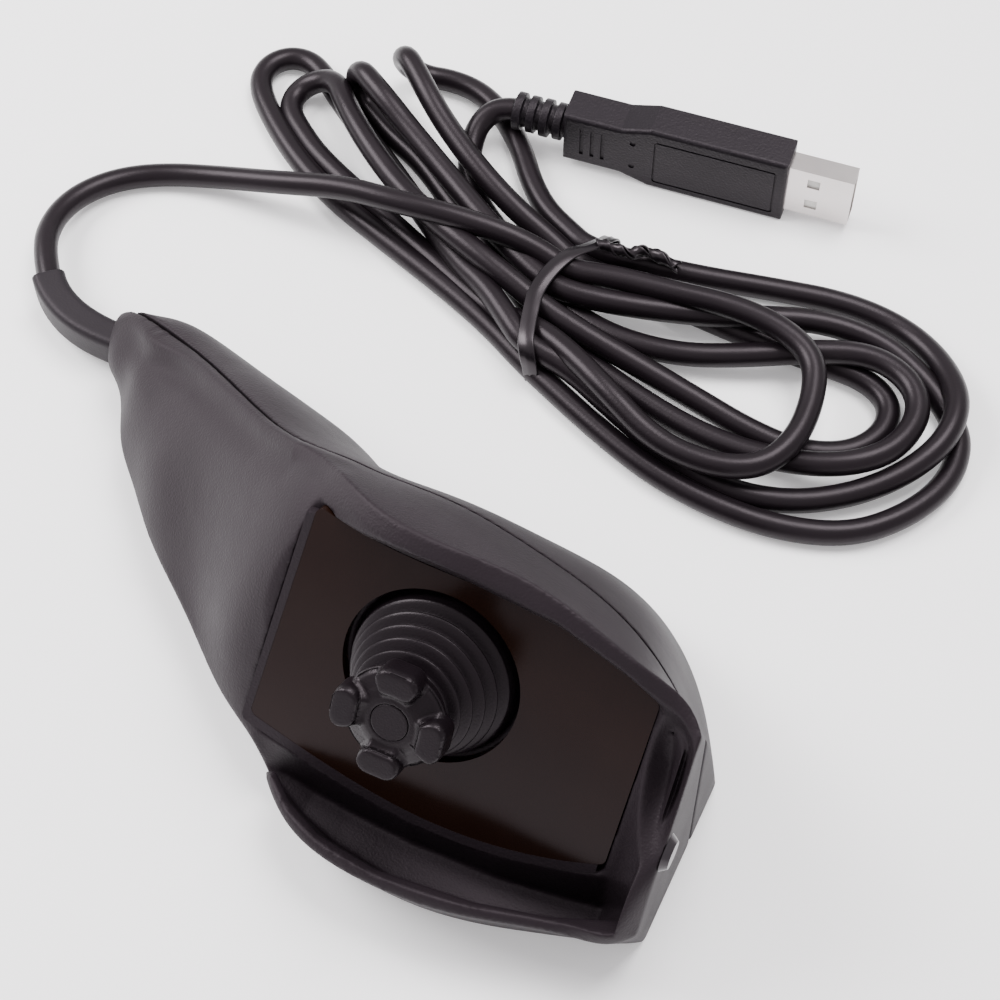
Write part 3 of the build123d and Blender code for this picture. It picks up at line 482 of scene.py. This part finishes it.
def cap_pads(shape):
    """The wide pads that the cap's four lobes stand on, with channels between them."""
    for vertex in shape.vertices:
        place = vertex.co - HOLE
        across, up = place.dot(ACROSS), place.dot(UP)
        height = place.dot(NORMAL)
        radius = math.hypot(across, up)
        facing = clamped((vertex.normal.dot(NORMAL) - UPWARD_START) / UPWARD_SPAN)
        if height > PAD_FLOOR and facing and radius > PAD_INNER:
            around = (math.degrees(math.atan2(up, across)) + LOBE_TURN / 2) % LOBE_TURN - LOBE_TURN / 2
            pad = smooth_step(clamped((PAD_EDGE - abs(around)) / PAD_SLOPE))
            rise = smooth_step(clamped((radius - RISE_START) / RISE_SPAN))
            lobe = clamped((LOBE_TOP - height) / LOBE_SPAN)
            sink = CHANNEL_DEPTH * (1 - pad) * rise
            vertex.co += NORMAL * (PAD_HEIGHT * pad * rise * lobe * facing - sink * facing)


moulded("stick_cap", voxel=0.00016, passes=14, shaped=cap_pads)
moulded("cap_disc", voxel=0.00012, passes=3)

# The return spring stands on the carrier and moves with it as one piece.
spring_shape = nodes["return_spring"].data.copy()
spring_shape.shade_smooth()
spring = bpy.data.objects.new("return_spring_coils", spring_shape)
scene.collection.objects.link(spring)
dress(spring, "return_spring")
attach(spring, "carrier")
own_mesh(spring)

# ---------------------------------------------------------------- twist tie


def through(stops, steps, closed):
    """A smooth line through stops, with the same number of steps from each to the next."""
    line = []
    count = len(stops)
    spans = count if closed else count - 1
    for k in range(spans):
        near = range(k - 1, k + 3)
        if closed:
            a, b, c, d = (Vector(stops[j % count]) for j in near)
        else:
            a, b, c, d = (Vector(stops[min(max(j, 0), count - 1)]) for j in near)
        for step in range(steps):
            t = step / steps
            line.append(
                b + (c - a) * (0.5 * t)
                + (a * 2 - b * 5 + c * 4 - d) * (0.5 * t * t)
                + (b * 3 - a - c * 3 + d) * (0.5 * t * t * t)
            )
    if not closed:
        line.append(Vector(stops[-1]))
    return line


# A strap's section, as shares of its half width and its half thickness.
STRAP_FLAT, STRAP_RIB = 0.86, 0.3
STRAP_EDGE, STRAP_DIP, STRAP_TOP = 0.4, 0.8, 1.5


def strap(name, line, outwards, width, thickness, closed):
    """A flat strap along a line, with thinner edges and the wire's rib on its face.

    outwards gives the direction of the strap's face at each point of the line.
    """
    half, thick = width / 2, thickness / 2
    flat, rib = half * STRAP_FLAT, half * STRAP_RIB
    edge, dip, top = thick * STRAP_EDGE, thick * STRAP_DIP, thick * STRAP_TOP
    section = [
        (-half, -edge), (-flat, -thick), (flat, -thick), (half, -edge),
        (half, edge), (flat, thick), (rib, dip), (0, top),
        (-rib, dip), (-flat, thick), (-half, edge),
    ]
    points = []
    count = len(line)
    for k, (place, out) in enumerate(zip(line, outwards)):
        if closed:
            along = line[(k + 1) % count] - line[k - 1]
        else:
            along = line[min(k + 1, count - 1)] - line[max(k - 1, 0)]
        across = along.cross(out).normalized()
        face = across.cross(along).normalized()
        points += [place + across * x + face * y for x, y in section]
    faces = []
    size = len(section)
    for k in range(count if closed else count - 1):
        here, there = k * size, (k + 1) % count * size
        for j in range(size):
            beside = (j + 1) % size
            faces.append((here + j, here + beside, there + beside, there + j))
    if not closed:
        faces.append(tuple(range(size)))
        faces.append(tuple(range((count - 1) * size, count * size))[::-1])
    return mesh_piece(name, points, faces)


TIE_LOOP = [
    (0.0054, 0.1032, 0.0024), (0.0052, 0.1026, 0.0046), (0.0048, 0.0998, 0.0067),
    (0.0034, 0.0956, 0.0087), (0.0010, 0.0914, 0.0099), (-0.0006, 0.0860, 0.0101),
    (-0.0010, 0.0805, 0.0100), (0.0000, 0.0755, 0.0099), (0.0016, 0.0700, 0.0096),
    (0.0030, 0.0674, 0.0082), (0.0040, 0.0665, 0.0054), (0.0044, 0.0666, 0.0022),
    (0.0046, 0.0686, 0.0004), (0.0048, 0.0850, 0.0003), (0.0052, 0.1000, 0.0004),
    (0.0054, 0.1026, 0.0009),
]
TIE_MIDDLE = Vector((0.003, 0.0850, 0.0050))
TIE_LEAN = 0.3  # how far the loop's face leans out with distance along y
LOOP_STEPS = 6
LOOP_WIDTH = 0.0032
TIE_THICKNESS = 0.0005
loop_line = through(TIE_LOOP, LOOP_STEPS, True)
loop_out = [Vector((0, (p.y - TIE_MIDDLE.y) * TIE_LEAN, p.z - TIE_MIDDLE.z)) for p in loop_line]
tie_loop = dress(strap("tie_loop", loop_line, loop_out, LOOP_WIDTH, TIE_THICKNESS, True), "twist_tie")
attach(tie_loop, "housing")

TIE_TAILS = [
    (0.0046, 0.0976, 0.0080), (0.0060, 0.0974, 0.0086), (0.0080, 0.0976, 0.0082),
    (0.0105, 0.0984, 0.0074), (0.0132, 0.1004, 0.0070), (0.0164, 0.1008, 0.0064),
    (0.0198, 0.1006, 0.0056),
]
TAIL_STEPS = 10
TAIL_WIDTH = 0.0024
TAIL_TURN = 0.24  # radians from step to step
TAIL_OFFSET = 0.0006
tail_line = through(TIE_TAILS, TAIL_STEPS, False)
for tail, lean in enumerate((0.0, math.pi)):
    twisted = []
    facing = []
    for k, place in enumerate(tail_line):
        turn = lean + k * TAIL_TURN
        spoke = Vector((0, math.cos(turn), math.sin(turn)))
        twisted.append(place + spoke * TAIL_OFFSET)
        facing.append(spoke)
    strip = strap(f"tie_tail_{tail + 1}", twisted, facing, TAIL_WIDTH, TIE_THICKNESS, False)
    strand = dress(strip, "twist_tie")
    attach(strand, "housing")

# ---------------------------------------------------------------- plug

moulded("plug_relief", voxel=0.00016, passes=5)
eased("plug_body", width=0.0004)
eased("plug_shell", width=0.00012)
eased("plug_tongue", width=0.0001)

# ---------------------------------------------------------------- cord's finish and body

dress(cord, "cord_lead", "cord_hank")
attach(cord, "housing")

# ---------------------------------------------------------------- floor and light

FLOOR_REACH = 3
FLOOR_DROP = 0.00005
FLOOR_GLOW = 0.22
WORLD_STRENGTH = 1.05

floor_shape = bpy.data.meshes.new("floor")
floor_corners = [
    (FLOOR_REACH * x, FLOOR_REACH * y, 0) for x, y in ((-1, -1), (1, -1), (1, 1), (-1, 1))
]
floor_shape.from_pydata(floor_corners, [], [(0, 1, 2, 3)])
floor = bpy.data.objects.new("floor", floor_shape)
floor.location.z = -FLOOR_DROP
scene.collection.objects.link(floor)
floor_finish = finish("floor", colour=(0.90, 0.89, 0.90), roughness=0.6, patches=0.004)
floor_shader = floor_finish.node_tree.nodes["Principled BSDF"]
floor_shader.inputs["Emission Color"].default_value = (1, 0.99, 1, 1)
floor_shader.inputs["Emission Strength"].default_value = FLOOR_GLOW
floor_shape.materials.append(floor_finish)

world = bpy.data.worlds.new("studio")
world.use_nodes = True
sky = world.node_tree.nodes["Background"]
sky.inputs["Color"].default_value = (1.0, 0.975, 0.99, 1)
sky.inputs["Strength"].default_value = WORLD_STRENGTH
scene.world = world


def softbox(name, place, aim, size, power):
    """A square area light turned towards a point."""
    data = bpy.data.lights.new(name, "AREA")
    data.size = size
    data.energy = power
    lamp = bpy.data.objects.new(name, data)
    lamp.location = place
    lamp.rotation_euler = (Vector(aim) - Vector(place)).to_track_quat("-Z", "Y").to_euler()
    scene.collection.objects.link(lamp)


softbox("key_light", (-0.55, 0.00, 0.50), (-0.02, 0.03, 0.02), size=0.40, power=9.0)
softbox("top_light", (0.10, 0.30, 0.80), (0, 0.04, 0), size=0.45, power=10.0)
